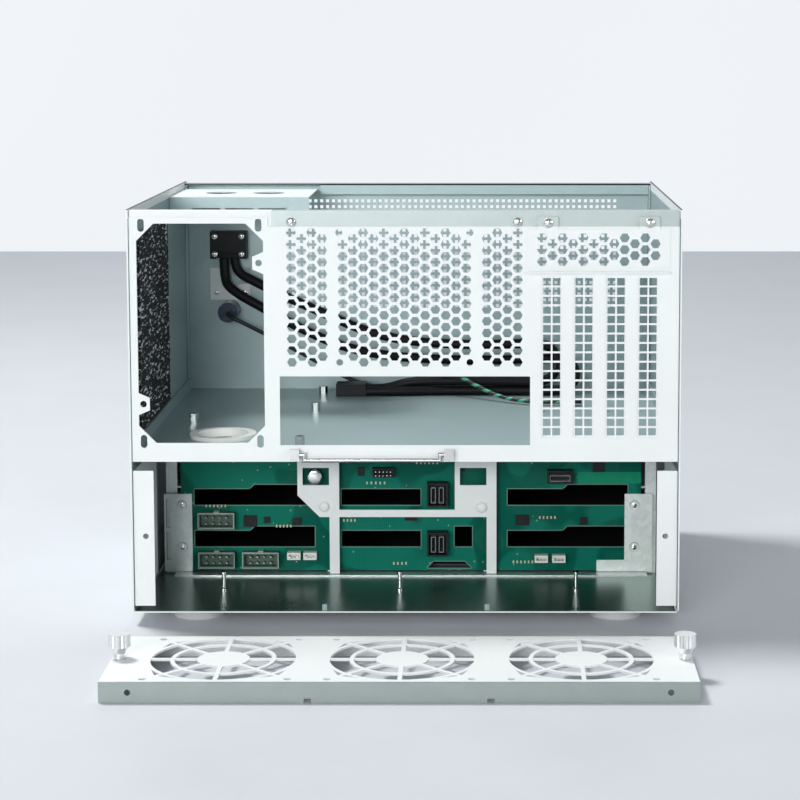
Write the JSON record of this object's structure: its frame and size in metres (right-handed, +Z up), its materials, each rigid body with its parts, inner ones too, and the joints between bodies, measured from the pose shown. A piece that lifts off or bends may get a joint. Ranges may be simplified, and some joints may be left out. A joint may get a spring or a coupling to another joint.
{
  "type": "nas server case",
  "caption": "Open-topped sheet metal storage server case with hot-swap drive trays at the front, a hexagon-vented rear panel and a separate fan panel with ring grilles.",
  "frame": {"origin": "on the surface, under the middle of the case with its fan panel laid behind it", "axes": "+X to the right seen from the rear, +Y from the rear to the drive bays at the front, +Z up"},
  "size_m": [0.35, 0.4376, 0.267],
  "materials": {
    "white_powder_coat": "satin",
    "galvanised_steel": "satin",
    "nickel_plate": "gloss",
    "white_plastic": "satin",
    "black_plastic": "satin",
    "blue_plastic": "satin",
    "black_foam": "matte",
    "foot_rubber": "matte",
    "circuit_board": "satin",
    "cable_jacket": "satin",
    "tray_plastic": "satin"
  },
  "bodies": {
    "case": {"outer_shell": "white_powder_coat", "rear_panel": "white_powder_coat", "board_tray": "white_powder_coat", "front_panel": "white_powder_coat", "backplane_brace": "white_powder_coat", "panel_flange_left": "white_powder_coat", "panel_flange_right": "white_powder_coat", "slot_retainer": "white_powder_coat", "drive_shelf": "white_powder_coat", "fan_panel": "white_powder_coat", "slot_cover_1": "white_powder_coat", "slot_cover_2": "white_powder_coat", "slot_cover_3": "white_powder_coat", "slot_cover_4": "white_powder_coat", "drive_cage": "galvanised_steel", "side_bracket_left": "galvanised_steel", "side_bracket_right": "galvanised_steel", "port_bracket": "galvanised_steel", "retainer_screws": "nickel_plate", "standoffs": "nickel_plate", "bail_lugs": "nickel_plate", "cable_grommet": "white_plastic", "power_sockets": "white_plastic", "fan_headers": "white_plastic", "port_module": "black_plastic", "data_sockets": "black_plastic", "drive_sockets": "black_plastic", "button_plug": "black_plastic", "button_body": "blue_plastic", "port_plug": "black_plastic", "dust_filter": "black_foam", "feet": "foot_rubber", "backplane": "circuit_board", "port_cable_upper": "cable_jacket", "port_cable_lower": "cable_jacket", "button_lead": "cable_jacket"},
    "tray_left_low": {"drive_tray_left_low": "tray_plastic"},
    "lever_left_low": {"tray_lever_left_low": "tray_plastic"},
    "tray_left_centre": {"drive_tray_left_centre": "tray_plastic"},
    "lever_left_centre": {"tray_lever_left_centre": "tray_plastic"},
    "tray_left_top": {"drive_tray_left_top": "tray_plastic"},
    "lever_left_top": {"tray_lever_left_top": "tray_plastic"},
    "tray_middle_low": {"drive_tray_middle_low": "tray_plastic"},
    "lever_middle_low": {"tray_lever_middle_low": "tray_plastic"},
    "tray_middle_centre": {"drive_tray_middle_centre": "tray_plastic"},
    "lever_middle_centre": {"tray_lever_middle_centre": "tray_plastic"},
    "tray_middle_top": {"drive_tray_middle_top": "tray_plastic"},
    "lever_middle_top": {"tray_lever_middle_top": "tray_plastic"},
    "tray_right_low": {"drive_tray_right_low": "tray_plastic"},
    "lever_right_low": {"tray_lever_right_low": "tray_plastic"},
    "tray_right_centre": {"drive_tray_right_centre": "tray_plastic"},
    "lever_right_centre": {"tray_lever_right_centre": "tray_plastic"},
    "tray_right_top": {"drive_tray_right_top": "tray_plastic"},
    "lever_right_top": {"tray_lever_right_top": "tray_plastic"},
    "left_screw": {"thumbscrew_left": "nickel_plate"},
    "right_screw": {"thumbscrew_right": "nickel_plate"},
    "bail": {"bail_handle": "nickel_plate"},
    "button": {"power_button": "nickel_plate"}
  },
  "joints": [
    {"name": "tray_left_low_slide", "type": "slide", "parent": "case", "child": "tray_left_low", "axis": [0, 1, 0], "range_m": [0, 0.15]},
    {"name": "lever_left_low_swing", "type": "hinge", "parent": "tray_left_low", "child": "lever_left_low", "pos_m": [-0.14187, 0.21375, 0.0257], "axis": [0, 0, 1], "range_deg": [0, 55]},
    {"name": "tray_left_centre_slide", "type": "slide", "parent": "case", "child": "tray_left_centre", "axis": [0, 1, 0], "range_m": [0, 0.15]},
    {"name": "lever_left_centre_swing", "type": "hinge", "parent": "tray_left_centre", "child": "lever_left_centre", "pos_m": [-0.14187, 0.21375, 0.0547], "axis": [0, 0, 1], "range_deg": [0, 55]},
    {"name": "tray_left_top_slide", "type": "slide", "parent": "case", "child": "tray_left_top", "axis": [0, 1, 0], "range_m": [0, 0.15]},
    {"name": "lever_left_top_swing", "type": "hinge", "parent": "tray_left_top", "child": "lever_left_top", "pos_m": [-0.14187, 0.21375, 0.0837], "axis": [0, 0, 1], "range_deg": [0, 55]},
    {"name": "tray_middle_low_slide", "type": "slide", "parent": "case", "child": "tray_middle_low", "axis": [0, 1, 0], "range_m": [0, 0.15]},
    {"name": "lever_middle_low_swing", "type": "hinge", "parent": "tray_middle_low", "child": "lever_middle_low", "pos_m": [-0.03489, 0.21375, 0.0257], "axis": [0, 0, 1], "range_deg": [0, 55]},
    {"name": "tray_middle_centre_slide", "type": "slide", "parent": "case", "child": "tray_middle_centre", "axis": [0, 1, 0], "range_m": [0, 0.15]},
    {"name": "lever_middle_centre_swing", "type": "hinge", "parent": "tray_middle_centre", "child": "lever_middle_centre", "pos_m": [-0.03489, 0.21375, 0.0547], "axis": [0, 0, 1], "range_deg": [0, 55]},
    {"name": "tray_middle_top_slide", "type": "slide", "parent": "case", "child": "tray_middle_top", "axis": [0, 1, 0], "range_m": [0, 0.15]},
    {"name": "lever_middle_top_swing", "type": "hinge", "parent": "tray_middle_top", "child": "lever_middle_top", "pos_m": [-0.03489, 0.21375, 0.0837], "axis": [0, 0, 1], "range_deg": [0, 55]},
    {"name": "tray_right_low_slide", "type": "slide", "parent": "case", "child": "tray_right_low", "axis": [0, 1, 0], "range_m": [0, 0.15]},
    {"name": "lever_right_low_swing", "type": "hinge", "parent": "tray_right_low", "child": "lever_right_low", "pos_m": [0.07209, 0.21375, 0.0257], "axis": [0, 0, 1], "range_deg": [0, 55]},
    {"name": "tray_right_centre_slide", "type": "slide", "parent": "case", "child": "tray_right_centre", "axis": [0, 1, 0], "range_m": [0, 0.15]},
    {"name": "lever_right_centre_swing", "type": "hinge", "parent": "tray_right_centre", "child": "lever_right_centre", "pos_m": [0.07209, 0.21375, 0.0547], "axis": [0, 0, 1], "range_deg": [0, 55]},
    {"name": "tray_right_top_slide", "type": "slide", "parent": "case", "child": "tray_right_top", "axis": [0, 1, 0], "range_m": [0, 0.15]},
    {"name": "lever_right_top_swing", "type": "hinge", "parent": "tray_right_top", "child": "lever_right_top", "pos_m": [0.07209, 0.21375, 0.0837], "axis": [0, 0, 1], "range_deg": [0, 55]},
    {"name": "left_screw_turn", "type": "hinge", "parent": "case", "child": "left_screw", "pos_m": [-0.16347, -0.171, 0.012], "axis": [0, 0, 1], "continuous": true},
    {"name": "right_screw_turn", "type": "hinge", "parent": "case", "child": "right_screw", "pos_m": [0.16847, -0.171, 0.012], "axis": [0, 0, 1], "continuous": true},
    {"name": "bail_swing", "type": "hinge", "parent": "case", "child": "bail", "pos_m": [-0.021, -0.0547, 0.111], "axis": [-1, 0, 0], "range_deg": [0, 150]},
    {"name": "button_press", "type": "slide", "parent": "case", "child": "button", "axis": [0, -1, 0], "range_m": [0, 0.0015], "stiffness_N_per_m": 400}
  ]
}
